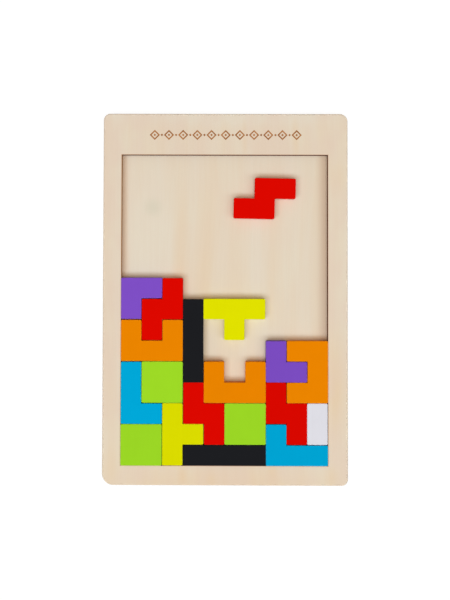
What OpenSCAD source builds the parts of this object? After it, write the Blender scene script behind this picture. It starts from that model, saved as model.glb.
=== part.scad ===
// A flat wooden packing puzzle: a framed tray ten cells wide and fifteen high, and nineteen
// painted blocks of two to five cells that lie in it. The tray is two sheets of plywood glued
// together, a plain base board and a frame with the play field cut out of it.
// The origin is the middle of the underside; +X is right, +Y is towards the wide top rail.

/* [Play field] */
// Side of one cell of the play field
cell = 15.1; // [12:0.1:20]
// Cells across the play field
columns = 10; // [10:1:14]
// Cells up the play field
rows = 15; // [13:1:20]

/* [Tray] */
// Thickness of the base board
base_t = 3; // [2:0.5:6]
// Thickness of the frame, which is the depth of the play field
frame_t = 6; // [4:0.5:12]
// Width of the left rail
rail_left = 13.4; // [10:0.1:25]
// Width of the right rail
rail_right = 14.5; // [10:0.1:25]
// Width of the top rail, which leaves room for a heading
rail_top = 30.2; // [20:0.1:45]
// Width of the bottom rail
rail_bottom = 14.3; // [10:0.1:25]
// Radius of the sanded corner at top left
corner_top_left = 4.9; // [2:0.1:9]
// Radius of the sanded corner at top right
corner_top_right = 5.6; // [2:0.1:9]
// Radius of the sanded corner at bottom left
corner_bottom_left = 8.4; // [2:0.1:9]
// Radius of the sanded corner at bottom right
corner_bottom_right = 4.6; // [2:0.1:9]
// Radius that softens the tray's top rim
tray_rim_top = 1; // [0.4:0.1:1.8]
// Radius that softens the tray's bottom rim
tray_rim_bottom = 0.6; // [0.4:0.1:1.8]

/* [Blocks] */
// Thickness of a block
block_t = 7; // [4:0.5:14]
// Play that each side of a block leaves to the side of its cells
play = 0.1; // [0.05:0.05:0.4]
// Radius of a block's upright outer corners
block_corner = 1; // [0.8:0.1:2]
// Radius that softens a block's top and bottom rims
block_rim = 0.4; // [0.2:0.1:1]

/* [Loose block] */
// Distance of the loose block's lower left corner from the left side of the play field
loose_from_left = 81.8; // [5:0.1:90]
// Distance of the loose block's lower left corner from the top side of the play field
loose_from_top = 46.6; // [42:0.1:60]
// How far the loose block lies turned, clockwise, in degrees
loose_turn = 1.2; // [0:0.1:5]

/* [Hidden] */

// Size of the play field and of the tray round it
field_w = columns * cell;
field_h = rows * cell;
tray_w = rail_left + field_w + rail_right;
tray_h = rail_bottom + field_h + rail_top;

// Lower left corner of the play field
field_x = -tray_w / 2 + rail_left;
field_y = -tray_h / 2 + rail_bottom;

// Radii of the tray's corners, counter-clockwise from the lower right one
corner_radii = [corner_bottom_right, corner_top_right, corner_top_left, corner_bottom_left];

// The same for a block's corners
block_corners = [block_corner, block_corner, block_corner, block_corner];

// What a cut reaches past the faces that it cuts through
past = 1;

// Sides that a full turn of this radius gets on the screen: few for a small one
function turn_sides(r) = r < 3 ? 16 : 48;

birch = "#E2D0BB";
birch_pale = "#E3D2BA";
violet = "#7E50C0";
red = "#DE0601";
orange = "#EA8400";
black = "#1E1E21";
yellow = "#DFE000";
blue = "#00A6D4";
green = "#9DD729";
white = "#DDDDE4";

// Distance from a rectangle's middle to the side that k quarter turns take to the right:
// half its width or half its height
function side_out(w, h, k) = (k % 2 == 0 ? w : h) / 2;

// What rounding takes off a square edge, which lies at the origin and points to +X and +Y
module rounding_waste(r)
    difference() {
        translate([-r, -r]) square(r + past);
        translate([-r, -r]) circle(r, $fn = turn_sides(r));
    }

// Section across a plate, which stands on height 0, with its lower and its upper edges
// rounded; a radius of 0 leaves them sharp
module section(w, t, low, high)
    difference() {
        translate([-w / 2, 0]) square([w, t]);
        for (side = [0, 1])
            mirror([side, 0]) translate([w / 2, 0]) {
                if (low > 0) mirror([0, 1]) rounding_waste(low);
                if (high > 0) translate([0, t]) rounding_waste(high);
            }
    }

// What rounding a plate's corner takes off, from +X to +Y round the middle of the corner's
// turn; the edges stay rounded all the way round it
module corner_waste(r, t, low, high)
    rotate_extrude(angle = 90, $fn = turn_sides(r)) difference() {
        translate([0, -past]) square([2 * r, t + 2 * past]);
        section(2 * r, t, low, high);
    }

// Flat plate round the origin, with a radius of its own at each corner, counter-clockwise from
// the lower right one
module plate(w, h, t, radii, low, high)
    difference() {
        intersection() {
            rotate([90, 0, 0]) linear_extrude(h, center = true) section(w, t, low, high);
            rotate([90, 0, 90]) linear_extrude(w, center = true) section(h, t, low, high);
        }
        for (k = [0:3])
            rotate(90 * k) translate([side_out(w, h, k), -side_out(w, h, k + 1), 0])
                translate([-radii[k], radii[k], 0]) rotate(-90)
                    corner_waste(radii[k], t, low, high);
    }

// Plain bottom sheet of the tray
module base_board()
    color(birch_pale) plate(tray_w, tray_h, base_t, corner_radii, tray_rim_bottom, 0);

// Top sheet of the tray, with the play field cut out of it
module frame()
    color(birch) translate([0, 0, base_t]) difference() {
        plate(tray_w, tray_h, frame_t, corner_radii, 0, tray_rim_top);
        translate([field_x, field_y, -past]) cube([field_w, field_h, frame_t + 2 * past]);
    }

// Straight stretch of a block, some cells long and wide, with some play on every side
module stretch(col, row, cols, rows)
    translate([(col + cols / 2) * cell, (row + rows / 2) * cell, 0])
        plate(cols * cell - 2 * play, rows * cell - 2 * play, block_t, block_corners,
              block_rim, block_rim);

// The shapes, each lying with its lower left cell at the origin
module bar(cells) stretch(0, 0, cells, 1);
module square_block() stretch(0, 0, 2, 2);
module corner() {
    stretch(0, 0, 2, 1);
    stretch(0, 0, 1, 2);
}
module hook() {
    stretch(0, 0, 2, 1);
    stretch(0, 0, 1, 3);
}
module tee() {
    stretch(0, 0, 3, 1);
    stretch(1, 0, 1, 2);
}
module zigzag() {
    stretch(0, 0, 2, 1);
    stretch(1, 0, 1, 2);
    stretch(1, 1, 2, 1);
}
module cup() {
    stretch(0, 0, 3, 1);
    stretch(0, 0, 1, 2);
    stretch(2, 0, 1, 2);
}

// Lays a block on the base board with its origin at a corner of the grid, turned by quarter
// turns to the left, or first flipped over. It has slipped to the right and up by so many
// plays: a block that slips at least as far as the ones below and left of it, less two
// plays, still clears them
module lay(col, row, slip, quarters = 0, flip = false)
    translate([field_x + col * cell + slip.x * play, field_y + row * cell + slip.y * play, base_t])
        rotate(90 * quarters) mirror([flip ? 1 : 0, 0, 0]) children();

// Lays a block on the base board anywhere in the play field, measured from its top left
// corner, and turns it clockwise
module lay_loose(from_left, from_top, turn)
    translate([field_x + from_left, field_y + field_h - from_top, base_t])
        rotate(-turn) children();

module violet_corner_left() color(violet) lay(0, 9, [-0.6, 6.2], quarters = 3) corner();
module red_zigzag_left() color(red) lay(3, 9, [-0.2, 3.6], quarters = 1, flip = true) zigzag();
module orange_cup_left() color(orange) lay(0, 5, [0.2, 2.1]) cup();
module black_bar_upright() color(black) lay(4, 4, [-1.4, -0.6], quarters = 1) bar(4);
module yellow_tee_upper() color(yellow) lay(7, 8, [-3.2, 4.7], quarters = 2) tee();
module blue_hook_left() color(blue) lay(0, 2, [0.4, -0.3]) hook();
module green_square_left() color(green) lay(1, 3, [0.3, 2]) square_block();
module yellow_tee_lower() color(yellow) lay(2, 3, [0.4, 2.3], quarters = 3) tee();
module green_square_bottom() color(green) lay(0, 0, [-0.3, 0.6]) square_block();
module red_zigzag_middle() color(red) lay(5, 1, [2.3, 1.2], quarters = 1) zigzag();
module orange_cup_middle() color(orange) lay(4, 3, [0.6, 1.6]) cup();
module green_square_middle() color(green) lay(5, 1, [0.5, 1.9]) square_block();
module black_bar_lying() color(black) lay(3, 0, [1.4, 1.5]) bar(4);
module violet_corner_right() color(violet) lay(7, 4, [-1, 1]) corner();
module orange_cup_right() color(orange) lay(10, 3, [0.2, 1.8], quarters = 1) cup();
module red_zigzag_right() color(red) lay(9, 1, [-1.1, 2.6], quarters = 1) zigzag();
module white_domino() color(white) lay(10, 1, [-2.7, 2.6], quarters = 1) bar(2);
module blue_hook_right() color(blue) lay(7, 0, [-0.4, 0.5], quarters = 3, flip = true) hook();
module red_zigzag_loose()
    color(red) lay_loose(loose_from_left, loose_from_top, loose_turn) zigzag();

base_board();
frame();
violet_corner_left();
red_zigzag_left();
orange_cup_left();
black_bar_upright();
yellow_tee_upper();
blue_hook_left();
green_square_left();
yellow_tee_lower();
green_square_bottom();
red_zigzag_middle();
orange_cup_middle();
green_square_middle();
black_bar_lying();
violet_corner_right();
orange_cup_right();
red_zigzag_right();
white_domino();
blue_hook_right();
red_zigzag_loose();
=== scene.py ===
"""Looks of the wooden packing puzzle: a tray of two glued plywood sheets and nineteen painted
blocks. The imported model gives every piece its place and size; this script dresses it."""
import math
import bpy
import bmesh
import numpy as np
from mathutils import Matrix, Vector


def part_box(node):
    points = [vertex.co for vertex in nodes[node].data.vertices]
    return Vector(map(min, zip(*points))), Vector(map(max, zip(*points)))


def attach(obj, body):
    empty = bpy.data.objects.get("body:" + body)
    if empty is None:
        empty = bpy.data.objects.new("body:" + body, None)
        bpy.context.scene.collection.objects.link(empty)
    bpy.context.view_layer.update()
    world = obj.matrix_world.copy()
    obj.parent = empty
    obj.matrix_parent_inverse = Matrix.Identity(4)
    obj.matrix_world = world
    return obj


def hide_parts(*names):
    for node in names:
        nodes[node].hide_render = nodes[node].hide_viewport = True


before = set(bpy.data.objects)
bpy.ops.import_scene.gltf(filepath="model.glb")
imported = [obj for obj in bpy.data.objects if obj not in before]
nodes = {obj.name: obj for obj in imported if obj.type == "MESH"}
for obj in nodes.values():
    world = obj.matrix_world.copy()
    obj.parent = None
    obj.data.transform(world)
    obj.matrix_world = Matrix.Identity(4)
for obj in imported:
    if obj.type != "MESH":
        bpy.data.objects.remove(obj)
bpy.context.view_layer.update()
MM = 0.001

# Camera
# It looks almost straight down from about 0.7 m above the tray, as the photograph does, so a thin
# strip shows of each inner wall and of the back walls of the blocks that lie near the front. The
# lens is shifted, so that the tray still lies in the middle of the picture.
camera_place = Vector((-6.0, 35.0, 708.67)) * MM
camera_aim = Vector((-10.148, 53.986, 9.0)) * MM
camera_roll = math.radians(0.1434)
camera = bpy.data.objects.new("camera", bpy.data.cameras.new("camera"))
camera.data.lens = 57.411
camera.data.shift_x, camera.data.shift_y = 0.022474, -0.125334
camera.data.sensor_width = 36
camera.data.clip_start = 0.01
backwards = (camera_place - camera_aim).normalized()
rightwards = Vector((0, 1, 0)).cross(backwards).normalized()
upwards = backwards.cross(rightwards)
looking = Matrix((rightwards, upwards, backwards)).transposed().to_4x4()
camera.matrix_world = Matrix.Translation(camera_place) @ looking @ Matrix.Rotation(camera_roll, 4, "Z")
bpy.context.collection.objects.link(camera)
bpy.context.scene.camera = camera
bpy.context.scene.view_settings.view_transform = "Standard"

# Table top
# A plain white sheet under the tray, seen almost burnt out, as in the photograph, with a faint
# shadow round the tray; it throws light back as white does. It lies a hair lower than the tray,
# and it is clear from below and to rays that start right on it, so that the underside is lit.
table_reach = 6.0
table_height = -0.02 * MM
clear_reach = 0.1 * MM


def add(tree, kind, settings=None, **inputs):
    """Puts a node of this kind in the tree, with settings such as an operation and inputs that
    are either values or another node's output. An input's name has _ for a space, and in_0,
    in_1 and so on count the sockets where their names repeat."""
    node = tree.nodes.new(kind)
    for name, value in (settings or {}).items():
        setattr(node, name, value)
    for name, value in inputs.items():
        socket = node.inputs[int(name[3:]) if name.startswith("in_") else name.replace("_", " ")]
        if isinstance(value, bpy.types.NodeSocket):
            tree.links.new(value, socket)
        else:
            socket.default_value = value
    return node


def math_of(tree, operation, first, second=0.0, third=0.0, clamp=False):
    """One step of arithmetic on values or outputs."""
    step = add(tree, "ShaderNodeMath", {"operation": operation, "use_clamp": clamp},
               in_0=first, in_1=second, in_2=third)
    return step.outputs[0]


def new_material(name):
    """An empty material, its node tree and its output node."""
    material = bpy.data.materials.new(name)
    material.use_nodes = True
    material.node_tree.nodes.clear()
    return material, material.node_tree, material.node_tree.nodes.new("ShaderNodeOutputMaterial")


table, tree, output = new_material("white_table")
ray = add(tree, "ShaderNodeLightPath")
seen = math_of(tree, "MAXIMUM", ray.outputs["Is Camera Ray"], ray.outputs["Is Glossy Ray"])
white = add(tree, "ShaderNodeBsdfDiffuse", Color=(0.8, 0.8, 0.8, 1))
shaded = add(tree, "ShaderNodeBsdfDiffuse", Color=(0.1, 0.1, 0.1, 1))
glow = add(tree, "ShaderNodeEmission", Color=(1, 1, 1, 1), Strength=0.93)
bright = add(tree, "ShaderNodeAddShader", in_0=shaded.outputs[0], in_1=glow.outputs[0])
upper = add(tree, "ShaderNodeMixShader", in_0=seen, in_1=white.outputs[0], in_2=bright.outputs[0])
clear = add(tree, "ShaderNodeBsdfTransparent")
from_below = add(tree, "ShaderNodeNewGeometry").outputs["Backfacing"]
starts_here = math_of(tree, "LESS_THAN", ray.outputs["Ray Length"], clear_reach)
see_through = math_of(tree, "MAXIMUM", from_below, starts_here)
sheet = add(tree, "ShaderNodeMixShader", in_0=see_through, in_1=upper.outputs[0], in_2=clear.outputs[0])
tree.links.new(sheet.outputs[0], output.inputs["Surface"])
table_mesh = bpy.data.meshes.new("table_top")
table_mesh.from_pydata([(x * table_reach, y * table_reach, table_height)
                        for x, y in ((-1, -1), (1, -1), (1, 1), (-1, 1))], [], [(0, 1, 2, 3)])
table_mesh.materials.append(table)
table_top = bpy.data.objects.new("table_top", table_mesh)
bpy.context.collection.objects.link(table_top)

# Light
# A soft box hangs above the tray and three more in front of it, in a dim room. Together they
# light a level face so that its colour comes out about as written. The box above and the room
# are warm, and the boxes in front are cool.
box_distance = 5.0
warm_light = (1.16, 1.0, 0.82)
cool_light = (0.84, 1.0, 1.19)
room_light = (1.0, 0.84, 0.72, 1)


def soft_box(name, azimuth, elevation, width, depth, share, colour):
    """An area lamp aimed at the tray. Azimuth 0 is in front and 90 to the right; its width runs
    along X as far as its tilt lets it. Its share is what it adds to a level face's brightness:
    power = share * pi^2 * distance^2 / sin(elevation)."""
    turn, rise = math.radians(azimuth), math.radians(elevation)
    level = Vector((math.sin(turn), -math.cos(turn), 0))
    outwards = level * math.cos(rise) + Vector((0, 0, math.sin(rise)))
    across = (Vector((1, 0, 0)) - outwards * outwards.x).normalized()
    light = bpy.data.lights.new(name, "AREA")
    light.shape = "RECTANGLE"
    light.size, light.size_y = width, depth
    light.energy = share * math.pi ** 2 * box_distance ** 2 / math.sin(rise)
    light.color = colour
    holder = bpy.data.objects.new(name, light)
    axes = Matrix((across, outwards.cross(across), outwards)).transposed().to_4x4()
    holder.matrix_world = Matrix.Translation(outwards * box_distance) @ axes
    bpy.context.collection.objects.link(holder)


soft_box("box_above", 0, 89, 2.6, 2.6, 0.31, warm_light)
soft_box("left_box", -53.5, 58, 1.75, 1.75, 0.21, cool_light)
soft_box("right_box", 57, 52, 3.6, 1.9, 0.17, cool_light)
soft_box("front_box", 0, 60, 3.0, 1.4, 0.17, cool_light)
world = bpy.data.worlds.new("dim_room")
world.use_nodes = True
bpy.context.scene.world = world
tree = world.node_tree
tree.nodes.clear()
room = add(tree, "ShaderNodeBackground", Color=room_light, Strength=0.227)
backdrop = add(tree, "ShaderNodeBackground", Color=(1, 1, 1, 1), Strength=1.0)
ray = add(tree, "ShaderNodeLightPath")
seen = math_of(tree, "MAXIMUM", ray.outputs["Is Camera Ray"], ray.outputs["Is Transmission Ray"])
around = add(tree, "ShaderNodeMixShader", in_0=seen, in_1=room.outputs[0], in_2=backdrop.outputs[0])
add(tree, "ShaderNodeOutputWorld", Surface=around.outputs[0])

# Base board
# A 3 mm sheet of basswood plywood, three plies, bare and sanded. Its grain runs up the tray. Along
# the sides of the play field its top is painted a warm brown, most at the right and hardly any in
# front and behind: partly soot left by the cutting of the frame, partly painted shade from the walls.
board_ply = 1.0 * MM
frame_low, frame_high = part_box("frame")
rail_left, rail_right, rail_top, rail_bottom = 13.4 * MM, 14.5 * MM, 30.2 * MM, 14.3 * MM
field_low = (frame_low.x + rail_left, frame_low.y + rail_bottom)
field_high = (frame_high.x - rail_right, frame_high.y - rail_top)
# The soot and painted shade are full until 2 mm inside this rectangle and gone from 9 mm inside
# it. The rectangle ends at the play field's right side, and reaches a little beyond the other three.
soot_and_shade_low = (field_low[0] - 2 * MM, field_low[1] - 6.5 * MM)
soot_and_shade_high = (field_high[0], field_high[1] + 6.5 * MM)
soot_and_shade_full, soot_and_shade_gone, soot_and_shade_share = -2 * MM, -9 * MM, 0.22
bare_wood = {"bump_mm": 0.03, "roughness": 0.62, "gloss": 0.15}


def rgb(code):
    """Linear colour of a six-digit sRGB code: each channel c becomes ((c + 0.055) / 1.055)^2.4,
    or c / 12.92 up to 0.04045."""
    channels = np.array([int(code[k:k + 2], 16) for k in (0, 2, 4)]) / 255
    linear = np.where(channels <= 0.04045, channels / 12.92, ((channels + 0.055) / 1.055) ** 2.4)
    return (*(float(c) for c in linear), 1.0)


pale = rgb("E5D9C3")
warm = rgb("E5CAA5")
rosy = rgb("E3CCB7")
line_tone = rgb("D9C3A4")
end_grain_tone = rgb("C8A981")
side_grain_tone = rgb("E0CBAB")
glue_tone = rgb("94714D")
stain_tone = rgb("CFCBB2")
# Warm brown of soot and of the painted shade beside the play field's walls; the frame's scorch uses it
# too
soot_and_shade_tone = rgb("B36C36")


def new_group(name, vectors, numbers, results):
    """An empty shader node group with its input and output nodes, from the names of the vectors
    and of the numbers that it takes and of the numbers that it gives."""
    group = bpy.data.node_groups.new(name, "ShaderNodeTree")
    for socket in vectors:
        group.interface.new_socket(socket, in_out="INPUT", socket_type="NodeSocketVector")
    for socket in numbers:
        group.interface.new_socket(socket, in_out="INPUT", socket_type="NodeSocketFloat")
    for socket in results:
        group.interface.new_socket(socket, in_out="OUTPUT", socket_type="NodeSocketFloat")
    return group, group.nodes.new("NodeGroupInput"), group.nodes.new("NodeGroupOutput")


def give(group, result, **values):
    """Links what a group has worked out to its output node. A name has _ for a space."""
    for name, value in values.items():
        group.links.new(value, result.inputs[name.replace("_", " ")])


def stretched_noise(tree, place, lump_mm, detail=2.0, roughness=0.5):
    """Noise whose lumps measure about lump_mm along X, Y and Z."""
    scale = add(tree, "ShaderNodeMapping", Vector=place,
                Scale=tuple(1 / (side * MM) for side in lump_mm))
    noise = add(tree, "ShaderNodeTexNoise", Vector=scale.outputs[0], Scale=1.0, Detail=detail,
                Roughness=roughness)
    return noise.outputs["Fac"]


def spread(tree, value, low, high):
    """value from low to high becomes 0 to 1, smoothly."""
    node = add(tree, "ShaderNodeMapRange", {"interpolation_type": "SMOOTHSTEP"},
               Value=value, From_Min=low, From_Max=high)
    return node.outputs[0]


def moved_along_x(tree, place, distance):
    """The place moved along X by a distance that changes over the surface."""
    step = add(tree, "ShaderNodeCombineXYZ", X=distance)
    moved = add(tree, "ShaderNodeVectorMath", {"operation": "ADD"}, in_0=place, in_1=step.outputs[0])
    return moved.outputs[0]


# Figure of a flat-cut basswood face: broad soft bands and faint lines along Y that drift up to
# 8 mm sideways, and patches where the fibres tilt. Its height is that of the lines and pores.
figure, given, result = new_group(
    "basswood_figure", ["Place"], [], ["Drift", "Bands", "Lines", "Patches", "Height"])
place = given.outputs["Place"]
drift = stretched_noise(figure, place, (70, 190, 70), detail=1.0)
drift = math_of(figure, "MULTIPLY_ADD", drift, 16 * MM, -8 * MM)
bent = moved_along_x(figure, place, drift)
bands = spread(figure, stretched_noise(figure, bent, (12, 150, 12), detail=2.5), 0.28, 0.72)
lines = spread(figure, stretched_noise(figure, bent, (1.3, 45, 1.3), roughness=0.6), 0.3, 0.7)
patches = spread(figure, stretched_noise(figure, place, (22, 34, 22)), 0.32, 0.68)
pores = spread(figure, stretched_noise(figure, bent, (0.22, 1.8, 0.22), detail=1.0), 0.6, 0.78)
height = math_of(figure, "MULTIPLY_ADD", lines, 0.7, math_of(figure, "MULTIPLY", pores, -0.5))
give(figure, result, Drift=drift, Bands=bands, Lines=lines, Patches=patches, Height=height)

# Edge of a plywood sheet: where the surface stands upright, how far the ply that a point lies in
# shows its end grain there, the dark glue lines between the plies, and the pores. Grain runs
# along Y in the lowest ply, along X in the next, and so on.
edges, given, result = new_group(
    "plywood_edge", ["Place", "Facing"], ["Underside", "Ply"], ["Edge", "End Grain", "Glue", "Pores"])
place = given.outputs["Place"]
place_axis = add(edges, "ShaderNodeSeparateXYZ", Vector=place)
facing_axis = add(edges, "ShaderNodeSeparateXYZ", Vector=given.outputs["Facing"])
facing_x, facing_y, facing_z = (math_of(edges, "ABSOLUTE", facing_axis.outputs[axis]) for axis in "XYZ")
edge = math_of(edges, "SUBTRACT", 1.0, spread(edges, facing_z, 0.1, 0.5))
ripple = stretched_noise(edges, place, (14, 14, 14), detail=1.0)
ripple = math_of(edges, "MULTIPLY_ADD", ripple, 0.12 * MM, -0.06 * MM)
level = math_of(edges, "SUBTRACT", place_axis.outputs["Z"], given.outputs["Underside"])
plies_up = math_of(edges, "DIVIDE", math_of(edges, "ADD", level, ripple), given.outputs["Ply"])
crosswise = math_of(edges, "FLOORED_MODULO", math_of(edges, "FLOOR", plies_up), 2.0)
x_over_y = math_of(edges, "SUBTRACT", facing_x, facing_y)
end_grain = spread(edges, math_of(edges, "MULTIPLY_ADD", crosswise, x_over_y, facing_y), 0.45, 0.85)
from_glue = math_of(edges, "PINGPONG", plies_up, 0.5)
glue = math_of(edges, "SUBTRACT", 1.0, spread(edges, from_glue, 0.02, 0.07))
pores = spread(edges, stretched_noise(edges, place, (0.16, 0.16, 0.16), detail=1.0), 0.5, 0.72)
give(edges, result, Edge=edge, End_Grain=end_grain, Glue=glue, Pores=pores)


def blend(tree, first, second, share):
    """Colour between two colours, by a mask or a share."""
    node = add(tree, "ShaderNodeMix", {"data_type": "RGBA"})
    for socket, value in ((node.inputs[0], share), (node.inputs[6], first), (node.inputs[7], second)):
        if isinstance(value, bpy.types.NodeSocket):
            tree.links.new(value, socket)
        else:
            socket.default_value = value
    return node.outputs[2]


def use_group(tree, group, **inputs):
    """Places a node group with its inputs."""
    return add(tree, "ShaderNodeGroup", {"node_tree": group}, **inputs)


def spots(tree, place, given):
    """Mask of soft ellipses. Each is given by its middle in X and Y, its half-width and
    half-height, all in mm, and by its strength, which falls to 0 at the ellipse's edge."""
    total = 0.0
    for x, y, half_width, half_height, strength in given:
        inside = add(tree, "ShaderNodeMapping", {"vector_type": "TEXTURE"}, Vector=place,
                     Location=(x * MM, y * MM, 0), Scale=(half_width * MM, half_height * MM, 1))
        away = add(tree, "ShaderNodeVectorMath", {"operation": "LENGTH"}, in_0=inside.outputs[0])
        spot = spread(tree, away.outputs["Value"], 1.0, 0.0)
        total = math_of(tree, "MULTIPLY_ADD", spot, strength, total)
    return total


def beyond_rectangle(tree, place, low, high):
    """Distance outside the rectangle from low to high in X and Y: the larger of |x - middle| -
    half the width and |y - middle| - half the height. It is negative inside."""
    middle = add(tree, "ShaderNodeMapping", Vector=place,
                 Location=(-(low[0] + high[0]) / 2, -(low[1] + high[1]) / 2, 0))
    axis = add(tree, "ShaderNodeSeparateXYZ", Vector=middle.outputs[0])
    away_x = math_of(tree, "ABSOLUTE", axis.outputs["X"])
    away_y = math_of(tree, "ABSOLUTE", axis.outputs["Y"])
    return math_of(tree, "MAXIMUM", math_of(tree, "SUBTRACT", away_x, (high[0] - low[0]) / 2),
                   math_of(tree, "SUBTRACT", away_y, (high[1] - low[1]) / 2))


def plywood_colour(tree, place, facing, underside, ply, shift_mm, warmth, blush, streaks):
    """Colour and height of bare plywood: the face's figure, moved by shift_mm so that no two
    sheets match, and the plies where the surface is an edge. Warmth is how yellow the sheet is
    and blush how pink; streaks are the spots along the grain that are warmer or paler."""
    band_swing, streak_bend, line_share, speckle_share, glue_share = 0.3, 0.4, 0.1, 0.4, 0.75
    moved = add(tree, "ShaderNodeMapping", Vector=place, Location=tuple(step * MM for step in shift_mm))
    face = use_group(tree, figure, Place=moved.outputs[0])
    bent = moved_along_x(tree, place, math_of(tree, "MULTIPLY", face.outputs["Drift"], streak_bend))
    share = math_of(tree, "MULTIPLY_ADD", face.outputs["Bands"], band_swing, warmth - band_swing / 2)
    share = math_of(tree, "ADD", share, spots(tree, bent, streaks), clamp=True)
    colour = blend(tree, pale, warm, share)
    colour = blend(tree, colour, rosy, math_of(tree, "MULTIPLY", face.outputs["Patches"], blush))
    colour = blend(tree, colour, line_tone, math_of(tree, "MULTIPLY", face.outputs["Lines"], line_share))
    side = use_group(tree, edges, Place=place, Facing=facing, Underside=underside, Ply=ply)
    side_colour = blend(tree, side_grain_tone, end_grain_tone, side.outputs["End Grain"])
    speckle = math_of(tree, "MULTIPLY", side.outputs["Pores"], side.outputs["End Grain"])
    for dark, dark_share in ((speckle, speckle_share), (side.outputs["Glue"], glue_share)):
        side_colour = blend(tree, side_colour, glue_tone, math_of(tree, "MULTIPLY", dark, dark_share))
    return blend(tree, colour, side_colour, side.outputs["Edge"]), face.outputs["Height"]


def finish_surface(tree, output, colour, height, bump_mm, roughness, gloss, gloss_tint=(1, 1, 1, 1)):
    """Shader of a wood or paint surface: its colour, its relief and how much it shines."""
    bump = add(tree, "ShaderNodeBump", Strength=1.0, Distance=bump_mm * MM, Height=height)
    shader = add(tree, "ShaderNodeBsdfPrincipled", Base_Color=colour, Roughness=roughness,
                 Specular_IOR_Level=gloss, Specular_Tint=gloss_tint, Normal=bump.outputs[0])
    tree.links.new(shader.outputs[0], output.inputs["Surface"])


board, tree, output = new_material("bare_plywood_board")
coordinate = add(tree, "ShaderNodeTexCoord")
place, facing = coordinate.outputs["Object"], coordinate.outputs["Normal"]
colour, height = plywood_colour(
    tree, place, facing, underside=0.0, ply=board_ply, shift_mm=(31, -57, 0), warmth=0.21, blush=0.15,
    streaks=((-58, 40, 26, 110, -0.45), (-33, 30, 9, 110, 0.34), (-15, 10, 9, 90, 0.22),
             (22, 35, 7, 70, -0.3), (34, 25, 6, 70, 0.2)))
upper_face = spread(tree, add(tree, "ShaderNodeSeparateXYZ", Vector=facing).outputs["Z"], 0.5, 0.9)
stain = math_of(tree, "MULTIPLY", spots(tree, place, ((-53.5, 67, 10, 10, 0.42),)), upper_face)
colour = blend(tree, colour, stain_tone, stain)
# Painted shade and soot: a warm brown on the top face along the walls of the play field
beyond_soot_and_shade = beyond_rectangle(tree, place, soot_and_shade_low, soot_and_shade_high)
soot_and_shade = math_of(tree, "MULTIPLY", spread(tree, beyond_soot_and_shade, soot_and_shade_gone, soot_and_shade_full), soot_and_shade_share)
colour = blend(tree, colour, soot_and_shade_tone, math_of(tree, "MULTIPLY", soot_and_shade, upper_face))
finish_surface(tree, output, colour, height, **bare_wood)
nodes["base_board"].data.materials[0] = board

# Frame
# A 6 mm sheet of basswood plywood, five plies, glued on the base board. Its rim is sanded
# round; the play field is cut out by laser, so its walls are burnt brown. The top rail has a
# row of plain lozenges and beads, engraved and browned by the same laser.
frame_ply = 1.2 * MM
frame_bottom, frame_top = frame_low.z, frame_high.z
burnt_tone = rgb("AE7A38")
burnt_dark = rgb("5A2305")
engraved_tone = rgb("B87C46")
engraved_dark = rgb("A06634")
stroke = 0.95 * MM
engraved_depth = 0.3 * MM
row_middle = (0.1 * MM, 119.9 * MM)
row_pitch = 10.4 * MM
row_count = 11
lozenge_half = 3.75 * MM
bead_half = 0.95 * MM
merge_distance = 0.0001 * MM
scorch_width, scorch_share = 0.7 * MM, 0.5
rim_width = 4 * MM
wall_margin = 1 * MM


def lozenges(across, outer, inner, low, high):
    """Upright lozenge rings in a row along X, or solid ones where inner is 0: corner k of ring m
    is across[m] plus a half-diagonal times (cos 90k, sin 90k) degrees, and the ring's section
    goes round outer low, outer high, inner high, inner low."""
    turn = np.arange(4) * math.pi / 2
    reach = np.array([outer, outer, inner, inner])
    x = across[:, None, None] + np.cos(turn)[:, None] * reach
    y = row_middle[1] + np.sin(turn)[:, None] * reach + 0 * x
    z = np.array([low, high, high, low]) + 0 * x
    index = np.arange(x.size).reshape(x.shape)
    ahead = np.roll(index, -1, axis=1)
    faces = np.stack([index, ahead, np.roll(ahead, -1, axis=2), np.roll(index, -1, axis=2)], axis=-1)
    return np.stack([x, y, z], axis=-1).reshape(-1, 3), faces.reshape(-1, 4)


def mesh_from(name, parts):
    """One closed mesh of several arrays of points and faces. Points that coincide are merged,
    what is left of faces without area goes, and all faces are turned outwards."""
    starts = np.cumsum([0] + [len(points) for points, faces in parts])
    points = np.concatenate([points for points, faces in parts])
    faces = np.concatenate([part[1] + start for start, part in zip(starts, parts)])
    mesh = bpy.data.meshes.new(name)
    mesh.from_pydata(points.tolist(), [], faces.tolist())
    shape = bmesh.new()
    shape.from_mesh(mesh)
    bmesh.ops.remove_doubles(shape, verts=shape.verts, dist=merge_distance)
    bmesh.ops.delete(shape, geom=[edge for edge in shape.edges if edge.is_wire], context="EDGES")
    bmesh.ops.recalc_face_normals(shape, faces=shape.faces)
    shape.to_mesh(mesh)
    shape.free()
    return mesh


frame_mesh = nodes["frame"].data.copy()
frame_mesh.name = "engraved_frame"
shape = bmesh.new()
shape.from_mesh(frame_mesh)
bmesh.ops.remove_doubles(shape, verts=shape.verts, dist=merge_distance)
shape.to_mesh(frame_mesh)
shape.free()
engraved_frame = bpy.data.objects.new("engraved_frame", frame_mesh)
bpy.context.collection.objects.link(engraved_frame)
middles = row_middle[0] + row_pitch * (np.arange(row_count) - (row_count - 1) / 2)
between = (middles[1:] + middles[:-1]) / 2
cut_span = (frame_top - engraved_depth, frame_top + 1 * MM)
cutter = bpy.data.objects.new("ornament_cutter", mesh_from("ornament_cutter", [
    lozenges(middles, lozenge_half, lozenge_half - stroke * math.sqrt(2), *cut_span),
    lozenges(middles, bead_half, 0.0, *cut_span),
    lozenges(between, bead_half, 0.0, *cut_span)]))
bpy.context.collection.objects.link(cutter)
cut = engraved_frame.modifiers.new("engraving", "BOOLEAN")
cut.object = cutter
cut.solver = "EXACT"
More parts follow.
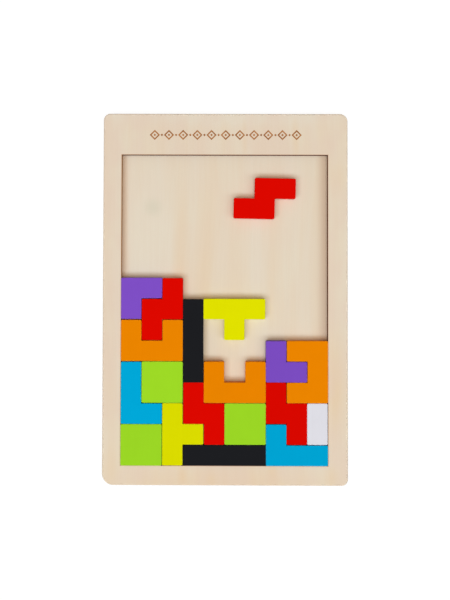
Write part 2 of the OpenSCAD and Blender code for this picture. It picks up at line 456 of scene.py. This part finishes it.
evaluated = engraved_frame.evaluated_get(bpy.context.evaluated_depsgraph_get())
carved = bpy.data.meshes.new_from_object(evaluated)
engraved_frame.modifiers.clear()
engraved_frame.data = carved
bpy.data.objects.remove(cutter)

wood, tree, output = new_material("laser_cut_plywood")
coordinate = add(tree, "ShaderNodeTexCoord")
place, facing = coordinate.outputs["Object"], coordinate.outputs["Normal"]
colour, height = plywood_colour(
    tree, place, facing, underside=frame_bottom, ply=frame_ply, shift_mm=(0, 0, 0), warmth=0.27,
    blush=0.6,
    streaks=((14.6, 118, 3.4, 28, 0.4), (51.5, 116, 4.2, 30, 0.4), (57, 112, 7, 18, 0.1),
             (5, 120, 4, 22, -0.15), (40, 118, 7, 32, -0.2), (-60, 118, 9, 22, -0.12),
             (82, -62, 12, 55, 0.6), (82, 88, 9, 18, 0.25), (-83, -70, 9, 45, 0.12),
             (0, -136, 120, 24, 0.52), (0, 136, 130, 14, -0.45), (-31, -128, 5, 14, 0.35),
             (35, -127, 6, 14, 0.3), (-84, -122, 9, 25, 0.3), (-10, -129, 16, 12, 0.15),
             (80, -129, 7, 12, 0.25)))
beyond_field = beyond_rectangle(tree, place, field_low, field_high)
scorch = math_of(tree, "MULTIPLY", spread(tree, beyond_field, scorch_width, 0.0), scorch_share)
colour = blend(tree, colour, soot_and_shade_tone, scorch)

# What lies in the engraving is browned: it is lower than the face, no lower than the engraving's
# floor, and farther in than the sanded rim, part of which is as low.
place_axis = add(tree, "ShaderNodeSeparateXYZ", Vector=place)
depth = math_of(tree, "SUBTRACT", frame_top, place_axis.outputs["Z"])
below_face = math_of(tree, "GREATER_THAN", depth, 0.02 * MM)
above_floor = math_of(tree, "LESS_THAN", depth, 1.01 * engraved_depth)
beyond_frame = beyond_rectangle(tree, place, frame_low, frame_high)
off_rim = math_of(tree, "LESS_THAN", beyond_frame, -rim_width)
engraved = math_of(tree, "MULTIPLY", math_of(tree, "MULTIPLY", below_face, above_floor), off_rim)
mottle = stretched_noise(tree, place, (6, 6, 3))
browned = blend(tree, engraved_tone, engraved_dark, spread(tree, mottle, 0.35, 0.65))
colour = blend(tree, colour, browned, engraved)
finish_surface(tree, output, colour, height, **bare_wood)

# The burnt walls are matt. They are darkest behind and to the right, a painted shade by the way
# each wall faces, and in the plies that show their end grain.
char, tree, output = new_material("laser_burnt_edge")
coordinate = add(tree, "ShaderNodeTexCoord")
place, facing = coordinate.outputs["Object"], coordinate.outputs["Normal"]
facing_axis = add(tree, "ShaderNodeSeparateXYZ", Vector=facing)
left_or_front = math_of(tree, "ADD", facing_axis.outputs["X"], facing_axis.outputs["Y"])
striation = stretched_noise(tree, place, (0.25, 0.25, 9), detail=1.0)
mottle = stretched_noise(tree, place, (6, 6, 3))
burnt_plies = use_group(tree, edges, Place=place, Facing=facing, Underside=frame_bottom, Ply=frame_ply)
char_and_painted_shade = 0.0
# The facing term is painted shade: the walls on the left and in front are lighter, those on the right
# and behind darker.
for cause, weight in ((left_or_front, -0.3), (mottle, 0.4), (striation, 0.4),
                      (burnt_plies.outputs["End Grain"], 0.2)):
    char_and_painted_shade = math_of(tree, "MULTIPLY_ADD", cause, weight, char_and_painted_shade)
colour = blend(tree, burnt_tone, burnt_dark, spread(tree, char_and_painted_shade, 0.2, 0.7))
finish_surface(tree, output, colour, striation, bump_mm=0.05, roughness=0.9, gloss=0.0)

# The burnt material goes on the upright faces beside the play field
engraved_frame.data.materials.clear()
engraved_frame.data.materials.append(wood)
engraved_frame.data.materials.append(char)
faces = engraved_frame.data.polygons
normals, centres = np.empty(len(faces) * 3), np.empty(len(faces) * 3)
faces.foreach_get("normal", normals)
faces.foreach_get("center", centres)
upright = np.abs(normals.reshape(-1, 3)[:, 2]) < 0.5
centres = centres.reshape(-1, 3)[:, :2]
beside_field = np.all((centres > np.array(field_low) - wall_margin)
                      & (centres < np.array(field_high) + wall_margin), axis=1)
faces.foreach_set("material_index", (upright & beside_field).astype(np.int32))
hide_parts("frame")
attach(engraved_frame, "root")

# Blocks
# Solid wood sawn into shapes of two to five cells, its edges eased, and sprayed all over in one
# satin colour. The eased edges are lighter, partly thinner paint and partly a painted highlight,
# and the grain shows through the paint faintly.


def paint(name, code, thin_and_highlit_code, gloss_code, block_lightness):
    """Satin paint on wood: its colour, the lighter one on the eased edges (thin paint and painted
    highlight), the tint of its shine seen straight on, and how light this block is made."""
    thin_and_highlit_share, cloud_swing, line_share, peel_height = 0.5, 0.05, 0.01, 0.4
    material, tree, output = new_material(name)
    coordinate = add(tree, "ShaderNodeTexCoord")
    place = coordinate.outputs["Object"]
    facing_axis = add(tree, "ShaderNodeSeparateXYZ", Vector=coordinate.outputs["Normal"])
    sides = [math_of(tree, "ABSOLUTE", facing_axis.outputs[axis]) for axis in "XYZ"]
    flat = math_of(tree, "MAXIMUM", math_of(tree, "MAXIMUM", sides[0], sides[1]), sides[2])
    eased = math_of(tree, "SUBTRACT", 1.0, spread(tree, flat, 0.75, 0.98))
    patchy = spread(tree, stretched_noise(tree, place, (3, 3, 3)), 0.3, 0.65)
    # Painted highlight and thin paint: the eased edges are lightened in patches
    paint_thin_and_highlit = math_of(tree, "MULTIPLY", math_of(tree, "MULTIPLY", eased, patchy), thin_and_highlit_share)
    colour = blend(tree, rgb(code), rgb(thin_and_highlit_code), paint_thin_and_highlit)
    grain = use_group(tree, figure, Place=place)
    cloud = stretched_noise(tree, place, (12, 12, 12))
    shade = math_of(tree, "MULTIPLY_ADD", cloud, cloud_swing, block_lightness - cloud_swing / 2)
    grain_shade = math_of(tree, "MULTIPLY", grain.outputs["Lines"], line_share)
    shade = math_of(tree, "SUBTRACT", shade, grain_shade)
    colour = add(tree, "ShaderNodeVectorMath", {"operation": "SCALE"}, Vector=colour, Scale=shade)
    peel = stretched_noise(tree, place, (0.7, 0.7, 0.7), detail=1.0)
    height = math_of(tree, "MULTIPLY_ADD", peel, peel_height, grain.outputs["Height"])
    finish_surface(tree, output, colour.outputs[0], height, bump_mm=0.005, roughness=0.58, gloss=0.15,
                   gloss_tint=rgb(gloss_code))
    return material


# Of each paint the colour, the colour on the eased edges (thin paint, painted highlight) and the tint of
# its shine
paints = {
    "violet": ("7F4FC3", "A383D6", "7030F0"),
    "red": ("DD0800", "EE4A33", "FF0600"),
    "orange": ("EB8500", "F7A845", "FF7000"),
    "black": ("191A1D", "3A3B3E", "707070"),
    "yellow": ("E1E100", "F0F060", "F0F000"),
    "blue": ("00A8D5", "55C4E6", "0090FF"),
    "green": ("9ED926", "B9E668", "80FF10"),
    "white": ("DEDDE2", "EDEDF0", "FFFFFF"),
}
# Blocks towards the front, which are made darker, and how light each is beside the others
front_blocks_darker = {
    "blue_hook_right": 0.94, "green_square_bottom": 0.96, "green_square_middle": 0.96,
    "orange_cup_middle": 0.98, "red_zigzag_middle": 0.98, "red_zigzag_right": 0.94,
    "violet_corner_right": 0.93, "yellow_tee_lower": 0.93,
}
for name, block in nodes.items():
    if name not in ("base_board", "frame"):
        codes = paints[name.split("_")[0]]
        block.data.materials[0] = paint(name + "_paint", *codes, front_blocks_darker.get(name, 1.0))
